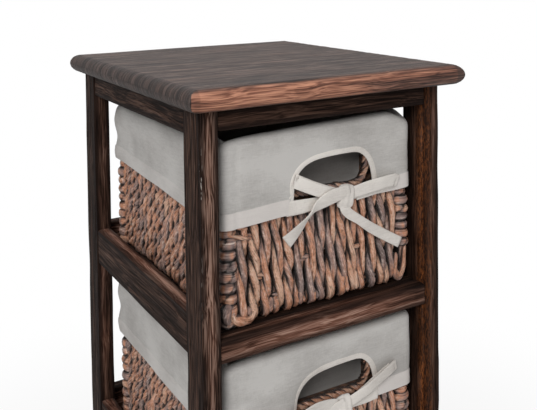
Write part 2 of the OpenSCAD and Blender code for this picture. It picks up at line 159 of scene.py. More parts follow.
class Value:
    """A value in a material. An operator on it adds its Math node, and node() adds any other node."""

    def __init__(self, tree, socket=None):
        self.tree, self.socket = tree, socket

    def node(self, kind, settings=None, inputs=None, out=0):
        """Adds a node, makes its settings first, fills its inputs, and gives one output or several."""
        made = self.tree.nodes.new("ShaderNode" + kind)
        for key, setting in (settings or {}).items():
            if key == "stops":
                stops = made.color_ramp.elements
                stops.remove(stops[1])
                for k, (place, *colour) in enumerate(setting):
                    stop = stops.new(place) if k else stops[0]
                    stop.position, stop.color = place, shown(colour)
            else:
                setattr(made, key, setting)
        for key, given in (inputs or {}).items():
            if isinstance(given, Value):
                self.tree.links.new(given.socket, made.inputs[key])
            else:
                made.inputs[key].default_value = given
        if isinstance(out, tuple):
            return tuple(Value(self.tree, made.outputs[o]) for o in out)
        return Value(self.tree, made.outputs[out])

    def math(self, operation, *others):
        return self.node("Math", {"operation": operation}, dict(enumerate((self, *others))))

    def __add__(self, other):
        return self.math("ADD", other)

    def __mul__(self, other):
        return self.math("MULTIPLY", other)

    def __sub__(self, other):
        return self.math("SUBTRACT", other)

    def __rsub__(self, other):
        return self.node("Math", {"operation": "SUBTRACT"}, {0: other, 1: self})

    __radd__, __rmul__ = __add__, __mul__

    def between(self, low, high):
        """0 below low, 1 above high, and a smooth rise in the middle."""
        return self.node("MapRange", {"interpolation_type": "SMOOTHSTEP"}, {0: self, 1: low, 2: high})

    def noise(self, scale, detail=2, roughness=0.5):
        """Noise from 0 to 1 at a vector that is stretched by three scales, in cells per metre."""
        at = self.node("VectorMath", {"operation": "MULTIPLY"}, {0: self, 1: scale})
        return self.node("TexNoise", None, {"Vector": at, "Scale": 1, "Detail": detail,
                                            "Roughness": roughness})

    def ramp(self, *stops):
        """A colour that runs through stops, each of them its place and its three screen numbers."""
        return self.node("ValToRGB", {"stops": stops}, {0: self})

    def over(self, share, colour):
        """This colour with a share of another one over it."""
        colour = colour if isinstance(colour, Value) else shown(colour)
        return self.node("Mix", {"data_type": "RGBA"}, {0: share, 6: self, 7: colour}, 2)

    def own(self, *names):
        """The piece's own attributes of these names, as numbers."""
        return [self.node("Attribute", {"attribute_name": name}, out=2) for name in names]


def start_material(name, vector=None):
    """An empty material, the value that its expressions start from, and the places on the piece: its
    object coordinates, or a vector attribute of the mesh."""
    material = bpy.data.materials.new(name)
    material.use_nodes = True
    material.node_tree.nodes.clear()
    start = Value(material.node_tree)
    if vector:
        return material, start, start.node("Attribute", {"attribute_name": vector}, out=1)
    return material, start, start.node("TexCoord", out=3)


def end_material(start, colour, roughness, height, depth, **constants):
    """Joins a colour, a roughness and a bump height of the given depth to a Principled shader."""
    bump = start.node("Bump", None, {"Height": height, "Distance": depth})
    inputs = {"Base Color": colour, "Roughness": roughness, "Normal": bump}
    inputs |= {key.replace("_", " "): value for key, value in constants.items()}
    shader = start.node("BsdfPrincipled", None, inputs)
    start.node("OutputMaterial", None, {"Surface": shader}, ())


def stretched(along, across, axis):
    """Three numbers: along for the axis, and across for the other two."""
    return tuple(along if k == axis else across for k in range(3))


CHAR = (26, 19, 17)
WORN = (205, 196, 188)
GLOW = (190, 112, 60)


def charred_wood(name, axis, stops, warm_stops, shine):
    """Streaks along an axis: pores and broad noise, stretched 20 to 35 times, on the brushed relief.
    The vector attribute wood_at gives the place in metres. The others are numbers: grain is the height
    of the relief, edge the closeness to an edge, and warm is high where the char is rubbed off down to
    reddish wood; warm also carries painted light, higher on lit faces and lower on shaded ones. An edge
    has pale specks by worn, bare fibres are orange by glow, and fibres are fine and greyer by pale."""
    material, start, place = start_material(name, "wood_at")

    def noise(at, along, across, *detail):
        return at.noise(stretched(along, across, axis), *detail)

    grain, edge, warm, worn, glow, pale = start.own("grain", "edge", "warm", "worn", "glow", "pale")
    bend = noise(place, 15, 30, 1).math("MULTIPLY_ADD", 0.009, -0.0045)
    bent = place.node("VectorMath", None, {0: place, 1: bend})
    pores = noise(bent, 24, 820, 2, 0.6).between(0.34, 0.62)
    streaks = noise(bent, 13, 330, 3, 0.7).between(0.3, 0.68)
    broad = noise(bent, 5, 110, 3)
    patch = noise(place, 6, 17, 2)
    height = pores * 0.4 + streaks * 0.2 + grain * 0.4
    tone = pores * 0.34 + streaks * 0.2 + grain * 0.32 + broad * 0.5 + patch * 0.4 - 0.45
    tone = tone + (warm - 0.3) * 0.3 + pale * (
        pores * 0.3 - broad * 0.5 - streaks * 0.2 - grain * 0.2 + 0.43)
    warmth = (warm + (patch - 0.5) * 1.3 + (broad - 0.5) * 0.9).between(0.1, 0.95)
    colour = tone.ramp(*stops).over(warmth, tone.ramp(*warm_stops))
    fibres = noise(place, 230, 1000, 2, 0.6).between(0.44, 0.6)
    colour = colour.over(glow * (fibres * 0.8 + 0.1), GLOW)
    scorch = edge * (noise(place, 14, 45) + edge * 0.25).between(0.38, 0.66)
    colour = colour.over(scorch * 0.8, CHAR)
    speck = worn * noise(place, 110, 700).between(0.58, 0.64) * patch.between(0.45, 0.55)
    colour = colour.over(speck * 0.8, WORN)
    end_material(start, colour, 0.68 - height * 0.16, height, 0.0006, Specular_IOR_Level=shine)
    return material


board_wood = charred_wood(
    "board_wood", 0,
    [(0.1, 26, 18, 16), (0.34, 51, 38, 33), (0.58, 84, 66, 59), (0.9, 134, 109, 97)],
    [(0.16, 36, 21, 16), (0.4, 84, 52, 41), (0.62, 140, 92, 73), (0.9, 206, 148, 120)], 0.24)


def brushed(points, at, axis, normals, edge, seed, depth=0.4):
    """Presses points inwards by brushed relief: noise in ridges 2.4 apart and 50 long, which wander
    sideways by slow noise, and dents of up to twice the depth at the edges."""
    fine, slow = (1 / np.array(stretched(*size, axis)) for size in ((50, 2.4), (90, 26)))
    drift = stacked(*(smooth_noise(at * slow, seed + k) for k in (1, 2, 3))) * 2.2
    drift[..., axis] = 0
    ridges = smooth_noise((at + drift) * fine, seed) * 0.7
    ridges += smooth_noise((at + drift) * fine * 2.1, seed + 7) * 0.3
    grain = np.clip(0.5 + 0.75 * ridges, 0, 1)
    dent = edge * np.clip(smooth_noise(at * slow * 2.5, seed + 9), 0, 1)
    return points - normals * ((1 - grain) * depth + dent * 2 * depth)[..., None], grain


def board_surface(low, high, seed):
    """The board's skin as a ring of points for each station along X: a strip with half-round ends in the
    plane of Y and Z. Towards the ends of the board, its height is cut to what the half circle there
    leaves, which makes the mitred corners. The grain is placed by the length round the ring."""
    centre, size = (low + high) / 2, high - low
    r = size[2] / 2
    half_x, half_y = size[:2] / 2 - r
    turn = np.radians(np.linspace(-90, 90, 17))
    flat = np.linspace(-1, 1, 190)[1:-1] * half_y
    ring_y = np.r_[half_y + r * np.cos(turn), flat[::-1], -half_y - r * np.cos(turn), flat]
    ring_z = r * np.r_[np.sin(turn), 0 * flat + 1, -np.sin(turn), 0 * flat - 1]
    end = half_x + r * np.cos(np.radians(np.r_[np.linspace(90, 8, 12), 1]))
    stations = np.r_[-end[::-1], np.linspace(-1, 1, 84)[1:-1] * half_x, end]
    x, y = np.meshgrid(stations, ring_y, indexing="ij")
    past = np.clip(np.abs(stations) - half_x, 0, r)[:, None]
    room = np.sqrt(np.maximum(r * r - past * past, 0))
    z = np.clip(ring_z, -room, room)
    capped = np.abs(ring_z) > room + 1e-6
    slope = np.sign(y) * np.sqrt(np.maximum(1 - (z / r) ** 2, 0))
    normals = stacked(np.sign(x) * past / r * capped, np.where(capped, 0, slope), z / r)
    edge = 0.5 * bell(np.abs(z) / r - 0.86, 0.16) * ((np.abs(y) > half_y) | (past > 0))
    at = stacked(x, run_along(stacked(ring_y, ring_z)), 0)
    points, grain = brushed(stacked(x, y, z) + centre, at, 0, normals, edge, seed, 0.3)
    grain = np.where(past > 0, 0.28 + 0.4 * grain, grain)
    front = np.clip(-(y + half_y) / (0.7 * r), 0, 1) * (past < 0.9 * r) * ~capped
    # warm: the front bullnose is rubbed to reddish wood, and its rise towards the left end is painted
    # light from the front left; the mitred ends get less.
    warm = front * (0.75 + 0.25 * np.clip((20 - x) / 100, -1, 1)) - 0.25 * (past > 0)
    return points, dict(grain=grain, edge=edge, warm=warm, wood_at=at * MM)


def box_mm(node):
    """Lowest and highest corner of a CAD node in millimetres."""
    return tuple(np.array(corner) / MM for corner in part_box(node))


points, looks = board_surface(*box_mm("top_board"), seed=11)
make_piece("board", "rack", "board_wood", board_wood, points,
           grid_faces(*points.shape[:2], caps=True, flip=True), replaces=["top_board"], **looks)

# Posts and rails: sawn bars of the same charred wood, brushed along their length. Their edges are
# rubbed round and are the blackest places. The rails stand on dowels between the posts.
DARK_STOPS = [(0.1, 22, 14, 11), (0.34, 46, 32, 26), (0.58, 80, 59, 49), (0.9, 128, 103, 91)]
BARE_STOPS = [(0.1, 38, 23, 17), (0.36, 82, 53, 42), (0.62, 128, 89, 74), (0.9, 184, 148, 131)]
dark_wood = [charred_wood(f"dark_wood_{'xyz'[axis]}", axis, DARK_STOPS, BARE_STOPS, 0.03)
             for axis in range(3)]
EDGE_R = 2.4
END_ROUND = 0.8
GRAIN_STEP = 1.15
STATION_STEP = 4.5


def round_outline(width, height):
    """Outline of a rectangle with round corners, anticlockwise: points, outward normals, and closeness
    to a corner, which is 1 on the arcs and fades over 3 radii."""
    places, normals = [], []
    inner = np.array([width, height]) / 2 - EDGE_R
    for corner, signs in enumerate(((1, 1), (-1, 1), (-1, -1), (1, -1))):
        a = np.radians(90 * corner + np.linspace(0, 90, 6))
        arc = np.c_[np.cos(a), np.sin(a)]
        run = 2 * inner[corner % 2]
        t = np.linspace(0, run, max(2, round(run / GRAIN_STEP)))[1:-1, None]
        ahead = np.array([-arc[-1][1], arc[-1][0]])
        places += [inner * signs + EDGE_R * arc, inner * signs + EDGE_R * arc[-1] + t * ahead]
        normals += [arc, np.repeat(arc[-1:], len(t), 0)]
    places, normals = np.concatenate(places), np.concatenate(normals)
    gap = np.linalg.norm(np.maximum(inner - np.abs(places), 0), axis=1)
    return places, normals, bell(gap, 1.5 * EDGE_R)


def bar_surface(low, high, axis, seed):
    """A bar's skin as a ring of points for each station along its axis. At both ends the ring is drawn in
    by a small quarter circle, and an end face closes it."""
    centre, size = (low + high) / 2, high - low
    b, c = (axis + 1) % 3, (axis + 2) % 3
    ring, ring_normals, edge = round_outline(size[b], size[c])
    half = size[axis] / 2 - END_ROUND
    turn = np.radians([0, 30, 60, 90])
    end = half + END_ROUND * np.cos(turn)
    inner = np.linspace(-half, half, max(6, round(size[axis] / STATION_STEP)))[1:-1]
    drawn_in = END_ROUND * np.r_[1 - np.sin(turn), 0 * inner, 1 - np.sin(turn[::-1])]
    points = np.zeros((len(drawn_in), len(ring), 3))
    normals = np.zeros(points.shape)
    points[..., axis] = np.r_[-end, inner, end[::-1]][:, None]
    points[..., [b, c]] = ring - ring_normals * drawn_in[:, None, None]
    normals[..., [b, c]] = ring_normals
    points, grain = brushed(points + centre, points + centre, axis, normals, edge, seed)
    return points, normals, grain, np.broadcast_to(edge, grain.shape)


def wooden_bar(node, axis, seed, front=0, side=0, rubbed=None, glowing=None, pale=0, box=None):
    """A bar in the box of a CAD node, which it replaces, or in a box of its own. Its warm is front on
    faces to the front and the back, side on the others, and more by the function rubbed of the points.
    The step from side to front is partly rubbed wood and partly painted light from the front, with
    painted shade on the side faces; pale is weaker on the side faces, also as painted shade. The
    function glowing gives its glow."""
    points, normals, grain, edge = bar_surface(*(box or box_mm(node)), axis, seed)
    to_front = normals[..., 1] ** 2
    warm = side + (front - side) * to_front + (rubbed(points) if rubbed else 0)
    arris = (normals[..., 0] < -0.2) & (normals[..., 1] < -0.2)
    make_piece(node if box else f"{node}_brushed", "rack", "dark_wood", dark_wood[axis], points,
               grid_faces(*grain.shape, caps=True), replaces=[] if box else [node], grain=grain, edge=edge,
               warm=warm, worn=edge * arris * (node == "front_left_post"),
               glow=glowing(points) if glowing else 0 * edge, pale=pale * (0.4 + 0.6 * to_front),
               wood_at=points * MM)


def inner_glow(points):
    """Bare orange fibres near the inner front edge of the front right post, in patches 45 long."""
    inner_face, front_face = box_mm("front_right_post")[0][:2]
    near = bell(points[..., 0] - inner_face, 5) * bell(points[..., 1] - front_face, 9)
    return np.clip(1.2 * near * (0.7 + 0.6 * smooth_noise(points / (6, 6, 45), 24)), 0, 1)


def rubbed_top(points, top):
    """Top of a left rail, most of all 40 in front of the middle."""
    return (0.9 + 0.5 * bell(points[..., 1] + 40, 55)) * (points[..., 2] > top - 1.5)


LEVELS = (1, 2, 3)
# Front and side warm: rubbed reddish wood, with painted light on faces to the front and painted shade on
# the side faces.
wooden_bar("front_left_post", 2, 20, 0.34, -0.1, pale=1)
wooden_bar("front_right_post", 2, 21, 0.1, -0.15, glowing=inner_glow)
wooden_bar("back_left_post", 2, 22, 0.2, -0.5)
wooden_bar("back_right_post", 2, 23, 0.1, -0.1)
for k, side in enumerate(("front", "back", "left", "right")):
    axis = k // 2
    wooden_bar(f"{side}_top_rail", axis, 30 + k, -0.1, -0.15)
    for rail, seed in ((f"{side}_rail_{n}", 40 + 4 * n + k) for n in LEVELS):
        if side == "left":
            wooden_bar(rail, axis, seed, 0.4, -0.1,
                       rubbed=lambda points: rubbed_top(points, box_mm(rail)[1][2]))
        else:
            wooden_bar(rail, axis, seed, 0.6, 0.35,
                       rubbed=lambda points: 0.25 * bell(points[..., 0], 70))

# Inside the rack: bearer strips and slats that carry the baskets, of the same dark wood, and in the
# joints beech dowels and zinc-plated screws. They are the CAD solids, with a finish.


def planed_wood(name, axis, *stops):
    """Planed wood: growth rings cut lengthwise, as noise that is stretched along an axis."""
    material, start, place = start_material(name)
    ring, pore = place.noise(stretched(9, 420, axis)), place.noise(stretched(60, 2200, axis), 1)
    tone = ring * 0.8 + pore * 0.2
    end_material(start, tone.ramp(*stops), 0.55 + pore * 0.2, tone, 0.0001)
    return material


def drawn_steel(name, shade, axis):
    """Steel with fine drawing marks along an axis and a few dull spots."""
    material, start, place = start_material(name)
    mark, spot = place.noise(stretched(90, 3000, axis)), place.noise((160, 160, 160), 3)
    tone = mark * 0.5 + spot * 0.5
    colour = tone.ramp((0.3, *(s * 0.72 for s in shade)), (0.7, *shade))
    end_material(start, colour, 0.24 + tone * 0.3, mark, 0.00002, Metallic=1)
    return material


def finish_nodes(material, *nodes):
    """Gives CAD nodes that stay in view their material."""
    for materials in (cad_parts[node].data.materials for node in nodes):
        materials.clear()
        materials.append(material)


STAINED = (0.3, 24, 16, 13), (0.5, 46, 31, 25), (0.7, 74, 52, 42)
BEECH = (0.3, 168, 132, 92), (0.5, 201, 168, 122), (0.7, 221, 193, 150)
finish_nodes(planed_wood("slat_wood", 0, *STAINED), *(f"slats_{n}" for n in LEVELS))
finish_nodes(planed_wood("bearer_wood", 1, *STAINED), *(f"bearers_{n}" for n in LEVELS))
finish_nodes(planed_wood("dowel_wood", 2, *BEECH), "dowels")
finish_nodes(drawn_steel("zinc", (186, 190, 196), 2), "board_screws", "bearer_screws")
finish_nodes(drawn_steel("wire_steel", (150, 150, 150), 0), *(f"basket_{n}_wire_frame" for n in LEVELS))

# Ledges: a strip of the same wood behind each front rail closes the gap to the first slat, since the
# photograph is dark under the foot of the basket.
LEDGE_T = 8
LEDGE_GAP = 0.3
for n in LEVELS:
    rail, slat = box_mm(f"front_rail_{n}"), box_mm(f"slats_{n}")
    half = box_mm("front_right_post")[0][0] - 0.5
    top = rail[1][2] - LEDGE_GAP
    wooden_bar(f"front_ledge_{n}", 0, 70 + n, box=(
        np.array([-half, rail[1][1] + 0.2, top - LEDGE_T]), np.array([half, slat[0][1] - LEDGE_GAP, top])))

# Upright strands of the baskets: each is two twisted cords of dry leaf, laid round each other. They
# stand close side by side on all four walls, and turn in under the bottom wire. The front ones turn
# slowly, so that each cord shows as a long leaning leaf, and those of the other walls turn faster.
STRAND_R = 5.5
LAY_GAP = 0.2
STRANDS_LOW, STRANDS_HIGH = box_mm("basket_1_strands")
BASKET_W, BASKET_D = (STRANDS_HIGH - STRANDS_LOW)[:2] + LAY_GAP
HALF_SIZE = np.array([BASKET_W, BASKET_D]) / 2
FRONT_Y = -BASKET_D / 2
STRAND_TOP = STRANDS_HIGH[2] - STRANDS_LOW[2]
COLUMN_R = 7.2
CORNER_R = COLUMN_R + 2 * LAY_GAP
CORNERS = ((-1, -1), (1, -1), (1, 1), (-1, 1))
ARC_POINTS = 6
SIDE_ROOM = 4 * (COLUMN_R + LAY_GAP)
STRAND_PITCH = 11.6
HOLE_X, HOLE_W, HOLE_Z = 12, 86, 106
HOLE_ROPE_R = 4
TURN_R = 6
FOOT_RUN = 5.5
RIGHT, FORWARD, UP = np.array([[1, 0, 0], [0, -1.0, 0], [0, 0, 1]])
# Distance of a ply's middle from that of its cord, as a share of the ply's radius.
HEART = 0.6
# The four walls: their directions outwards and ahead along the outline, their length and distance.
WALLS = {
    "front": (FORWARD, RIGHT, BASKET_W, BASKET_D / 2),
    "right": (RIGHT, -FORWARD, BASKET_D, BASKET_W / 2),
    "back": (-FORWARD, -RIGHT, BASKET_W, BASKET_D / 2),
    "left": (-RIGHT, FORWARD, BASKET_D, BASKET_W / 2),
}
# How the strands of the front and of the other walls are laid: the range of their pitch, and the rest.
FRONT_LAY = (48, 72), dict(ply_r=(3.9, 4.2), rough=1.3)
OTHER_LAY = (25, 37), dict(ply_r=(3.7, 5), rough=2.2, hand=-1, tones=(0.2, 0.76), shade=1.2)
WEFT_HEIGHTS = (12, 50, 92)
WEFT_OFFSET = -2 * STRAND_R + 1.2


def full_turn(count):
    """Even angles from 0 up to 360 degrees, without that."""
    return np.linspace(0, 2 * np.pi, count, endpoint=False)


def dry_leaf(name):
    """Dry leaf: its hue goes from grey purple over tan and orange to cream by the attribute tone and
    slow blotches. Fibres and creases at the vector attribute fibre_at, which goes round and along the
    cord, draw pale and dark lines. The attribute deep darkens it as painted shade between cords."""
    material, start, place = start_material(name)
    tone, deep, ridge = start.own("tone", "deep", "ridge")
    fibre_at = start.node("Attribute", {"attribute_name": "fibre_at"}, out=1)
    fibre = fibre_at.noise((4.5, 4.5, 0.1), 3, 0.65).between(0.3, 0.7)
    crease = fibre_at.noise((1.4, 1.4, 0.33))
    hue = tone * 0.62 + place.noise((75, 75, 45)) * 0.6 + crease * 0.25 - 0.26
    colour = hue.ramp((0, 112, 92, 88), (0.22, 164, 139, 133), (0.4, 196, 154, 138),
                      (0.56, 226, 156, 120), (0.8, 246, 196, 166))
    line = fibre * 0.6 + crease * 0.8 - 0.2
    colour = colour.over((line - 0.5).between(0, 0.5) * 0.7, (252, 234, 220))
    colour = colour.over((0.5 - line).between(0, 0.45) * 0.65, (48, 31, 26))
    # Painted shade: deep, with a little of the dark fibres, draws the colour towards near black.
    dark = (deep + (0.5 - fibre) * 0.16).between(0.1, 0.62)
    colour = colour.over(dark * 0.95, (16, 10, 8))
    height = fibre * 0.6 + crease * 0.4 + ridge * 0.3
    end_material(start, colour, 0.47 - fibre * 0.15, height, 0.0014, Specular_IOR_Level=0.5)
    return material


leaf = dry_leaf("dry_leaf")


def two_ply(centre, out, side, run, pitch, phase, rng, ply_r, hand=1, sides=12, ends=True, rough=1,
            seed=0, tones=(0.04, 0.93), shade=1.08):
    """Skins of cords of two plies, as points by cord, ply, ring, side, 3, and their attributes. Centre
    line, outward and sideways direction are arrays of cord, ring, 3, and run is the length along it.
    Each ply's middle goes round the line by out*cos(turn) + side*sin(turn), where turn grows by 360
    degrees in a pitch. Its section is an ellipse with winding leaf ridges that swells by slow noise.
    Painted shade darkens it where it faces sideways or towards its heart, and a painted highlight
    makes it pale where it stands out most."""
    radial, tangent = ply_r
    cord = np.arange(len(centre))[:, None]
    pitch, phase = np.reshape(pitch, (-1, 1)), np.reshape(phase, (-1, 1))
    wander = 0.9 * rough * smooth_noise(stacked(cord * 3.7, run / 38, seed), 8)
    turn = phase + hand * 2 * np.pi * run / pitch + wander * ends
    turn = (turn[:, None] + np.array([0, np.pi])[:, None])[..., None]
    around = full_turn(sides)
    number = (cord * 2 + np.arange(2))[..., None, None] * 7.3
    q = run[:, None, :, None]
    spot = stacked(number + np.cos(around) * 0.9, q / 17, seed + np.sin(around) * 0.9)
    swell = 1 + 0.15 * rough * smooth_noise(spot * (1, 0.7, 0) + (0, 0, seed), 3)
    lumps = 0.09 * rough * smooth_noise(spot * (1, 1.6, 1), 4)
    folds = np.cos(5 * around + q / 6.5 * hand + number)
    section = swell + lumps + 0.06 * rough * folds
    if ends:
        left = np.minimum(run - run[:, :1], run[:, -1:] - run)[:, None, :, None]
        section = section * np.sqrt(np.clip(left / radial, 0.04, 1))
    outwards = radial * (HEART + section * np.cos(around))
    sideways = tangent * section * np.sin(around)
    points = (centre[:, None, :, None]
              + out[:, None, :, None] * (outwards * np.cos(turn) - sideways * np.sin(turn))[..., None]
              + side[:, None, :, None] * (outwards * np.sin(turn) + sideways * np.cos(turn))[..., None])
    # facing is 1 where the ply faces straight out. There the tone gets a painted highlight, and deep is
    # painted shade where it faces sideways or towards its heart.
    facing = np.cos(turn + around).clip(0, 1)
    tone = rng.uniform(*tones, (len(centre), 2, 1, 1)) + 0.3 * smooth_noise(spot * (1, 0.45, 0.3), 5)
    spiral = around + q / 14 * hand
    return points, dict(
        tone=tone + 0.36 * facing ** 4 - 0.13, ridge=0.5 + 0.5 * folds,
        deep=np.maximum((0.5 - 0.5 * np.cos(around)) ** 4, shade * (1 - facing) ** 1.2),
        fibre_at=stacked(np.cos(spiral) + number, np.sin(spiral), q))


def basket_piece(n, name, slot, material, points, faces, node, **more):
    """Makes a piece of a basket, which replaces one of its CAD nodes. Its points are measured from the
    middle of the basket's underside."""
    low, high = box_mm(f"basket_{n}_strands")
    origin = np.array([0, (low[1] + high[1]) / 2, low[2] - LAY_GAP]) * MM
    return make_piece(f"basket_{n}_{name}", f"basket_{n}", slot, material, points, faces, origin,
                      [f"basket_{n}_{node}"], **more)


class Bundle:
    """Collects batches of tubes, given as arrays whose last axes are ring, side, 3, into one piece."""

    def __init__(self):
        self.points, self.faces, self.looks, self.count = [], [], [], 0

    def add(self, points, looks=None, closed=False, flip=False):
        rings, sides = points.shape[-3:-1]
        points = points.reshape(-1, 3)
        firsts = np.arange(self.count, self.count + len(points), rings * sides)
        self.faces += grid_faces(rings, sides, firsts, wrap_rows=closed, caps=not closed, flip=flip)
        self.points.append(points)
        looks = looks or {}
        self.looks.append({key: value.reshape(len(points), -1) for key, value in looks.items()})
        self.count += len(points)

    def piece(self, n, name, node, slot="plant_fibre", material=leaf):
        looks = {key: np.concatenate([each[key] for each in self.looks]) for key in self.looks[0]}
        return basket_piece(n, name, slot, material, np.concatenate(self.points), self.faces, node,
                            **looks)


def wall_strands(wall, rng, seed):
    """The strands of one wall: straight down, then a quarter turn inwards at the foot."""
    out, ahead, length, distance = WALLS[wall]
    pitches, lay = FRONT_LAY if wall == "front" else OTHER_LAY
    room = length - SIDE_ROOM
    count = int(room / STRAND_PITCH)
    at = (np.arange(count)[:, None] + 0.5) * (room / count) - room / 2
    over_hole = (wall == "front") & (np.abs(at - HOLE_X) < HOLE_W / 2 + STRAND_R)
    top = np.where(over_hole, HOLE_Z - 2 * HOLE_ROPE_R, STRAND_TOP)
    straight = top - (STRAND_R + LAY_GAP + TURN_R)
    bend = TURN_R * np.pi / 2
    t = np.r_[np.linspace(0, 1, 40), 1 + np.linspace(0, 1, 8)[1:]]
    run = np.where(t <= 1, t * straight, straight + (t - 1) * (bend + FOOT_RUN))
    angle = np.clip((run - straight) / TURN_R, 0, np.pi / 2)
    inward = STRAND_R + TURN_R * (1 - np.cos(angle)) + np.maximum(run - straight - bend, 0)
    height = top - np.minimum(run, straight) - TURN_R * np.sin(angle)
    sway = smooth_noise(stacked(at, run / 34, seed), 6) * lay["rough"]
    centre = (out * (distance - inward)[..., None] + ahead * (at + sway)[..., None]
              + UP * height[..., None])
    side_out = out * np.cos(angle)[..., None] - UP * np.sin(angle)[..., None]
    pitch, phase = rng.uniform(*pitches, count), rng.uniform(0, 2 * np.pi, count)
    return two_ply(centre, side_out, np.broadcast_to(ahead, centre.shape), run, pitch, phase, rng,
                   seed=seed, **lay)


def basket_outline(offset, front=60, deep=70, back=None):
    """Outline of a basket at an offset outwards from its faces, anticlockwise from the front left corner
    seen from above. Straight runs alternate with quarter circles. The front, both sides and the back
    have a number of even points or a list of shares of the run, and the back has those of the front if
    none are given. Gives the points, the normals, the length to each point and the whole length."""
    radius = max(CORNER_R + offset, 1.5)
    half = HALF_SIZE + offset - radius
    front, deep, back = (np.linspace(0, 1, shares) if isinstance(shares, int) else shares
                         for shares in (front, deep, front if back is None else back))
    middles, normals = [], []
    for k, shares in enumerate((front, deep, 1 - back[::-1], 1 - deep[::-1])):
        start, end = half * CORNERS[k], half * CORNERS[(k + 1) % 4]
        arc = np.linspace(0, 90, ARC_POINTS + 2)[1:-1]
        turn = np.radians(90 * (k - 1) + np.r_[0 * shares, arc])
        middles.append(start + np.r_[shares, 0 * arc + 1][:, None] * (end - start))
        normals.append(np.c_[np.cos(turn), np.sin(turn)])
    normals = np.concatenate(normals)
    places = np.concatenate(middles) + radius * normals
    run = run_along(np.r_[places, places[:1]])
    return places, normals, run[:-1], run[-1]


def level_ring(offset, height, ply_r, pitch, rng, seed, front=60, deep=76):
    """A cord of two plies that runs round the basket, with a whole number of turns."""
    places, normals, run, length = basket_outline(offset, front, deep)
    centre = np.c_[places, 0 * run + height][None]
    return two_ply(centre, np.c_[normals, 0 * run][None], np.broadcast_to(UP, centre.shape), run[None],
                   length / round(length / pitch), 0, rng, ply_r, sides=8, ends=False, seed=seed)


def upright_strands(n):
    rng = np.random.default_rng(100 + n)
    for name, walls in (("front_strands", ["front"]), ("side_strands", ["left", "right", "back"])):
        bundle = Bundle()
        for k, wall in enumerate(walls):
            bundle.add(*wall_strands(wall, rng, 10 * n + k))
        bundle.piece(n, name, "strands")
    wefts = Bundle()
    for k, height in enumerate(WEFT_HEIGHTS):
        wefts.add(*level_ring(WEFT_OFFSET, height, (1.9, 2.6), 30, rng, k), closed=True)
    wefts.piece(n, "wefts", "strands")


for n in LEVELS:
    upright_strands(n)

# Corner columns of the baskets: a cord is wound round each corner, one wrap on the other. The wraps
# are uneven, and some show the fold of the leaf. At the right of the front they are small and round,
# and the lowest cord hangs as a loop.
WRAP_PITCH, BEAD_PITCH = 9.6, 8.3
BEADS = (1, -1)
COLUMN_AT = COLUMN_R + LAY_GAP + 1.2
RING_R, RING_W = 4.6, 4.3
CORE_R = 6.3
# How far the columns at the front right and the back left stand out sideways under the hem of the
# cloth, and how much thicker they are there. The core steps aside a little below the hem.
STAND_OUT = {BEADS: (2.5, 0.2), (-1, 1): (2.2, 0.12)}
UNDER_HEM = 92
CORE_STEP_Z = UNDER_HEM - 8
# Where a weft comes forward between two front strands, as (x, z), and where the end of a leaf stands as
# a short stub at the foot, as (x, top).
WEFT_BITS = ((-74, 77), (-62.5, 40), (-46, 19), (-18.6, 47), (39.5, 46))
STUBS = ((-53, 19), (-21, 17), (-6, 15), (28, 22), (39, 24))


def column_middle(corner):
    """Middle of a corner's column, as (x, y)."""
    return np.array(corner) * (HALF_SIZE - COLUMN_AT)


def wrap_rings(corner, heights, thick, bulk, rng, seed):
    """Closed rings round a corner column. A ring's middle is a tilted circle, and its section is an
    ellipse whose two radii swell by slow noise and carry fine leaf ridges. Two slanted grooves across
    each ring are folds of the leaf. Painted shade darkens the gaps between the rings, their inner side
    and the folds, and a painted highlight makes the crown of each ring pale."""
    turn, around = full_turn(40)[:, None], full_turn(12)
    each = (len(heights), 1, 1)
    number, heights = np.arange(len(heights)).reshape(each), heights.reshape(each)
    spot = stacked(np.cos(turn) * 1.6 + number * 5.1, np.sin(turn) * 1.6 + seed, np.cos(around) * 0.8)
    cuts = rng.uniform(0, np.pi, each) + np.sin(around) * 0.5
    groove = bell(np.sin(turn - cuts), 0.16)
    swell = (1 + 0.14 * smooth_noise(spot, 31)) * (1 - 0.2 * groove)
    ridge = 0.5 + 0.5 * np.cos(6 * around + 2.5 * turn + number)
    high = thick.reshape(each) * swell * (1 + 0.05 * ridge)
    stand_out, stouter = STAND_OUT.get(corner, (0, 0))
    open_air = np.clip((UNDER_HEM - heights) / 9, 0, 1)
    wide = RING_W * (0.85 + 0.15 * swell) * (1 + 0.05 * ridge) * bulk * (1 + stouter * open_air)
    lean = rng.uniform(-0.17, 0.17, (2, *each))
    radius = RING_R + wide * np.cos(around) + rng.uniform(-0.5, 0.3, each)
    x, y = column_middle(corner)
    rise = RING_R * (lean[0] * np.cos(turn) + lean[1] * np.sin(turn))
    points = stacked(x + corner[0] * stand_out * open_air + radius * np.cos(turn),
                     y + radius * np.sin(turn), heights + rise + high * np.sin(around))
    tone = rng.uniform(0, 0.66, each) + 0.5 * smooth_noise(spot * 1.3, 33)
    # Painted highlight on the crown of each ring. deep is painted shade in the gaps, on the inner side and
    # in the folds.
    crown = np.cos(around - 0.25).clip(0, 1)
    return points, dict(
        tone=tone + 0.3 * crown ** 4 - 0.1, ridge=ridge,
        deep=0.08 + np.abs(np.sin(around - 0.12)) ** 3 + (np.cos(around) < -0.1) + 0.4 * groove,
        fibre_at=stacked(np.cos(around) + number, np.sin(around), np.sin(turn) * 9))


def column_core(middle, low, high):
    """The round core that the cord of a corner is wound on, made near black by deep as painted shade."""
    turn = full_turn(16)
    points = stacked(middle[0] + CORE_R * np.cos(turn), middle[1] + CORE_R * np.sin(turn),
                     [[low], [high]])
    flat = 0 * points[..., 0]
    return points, dict(tone=flat, deep=flat + 1, ridge=flat, fibre_at=points)


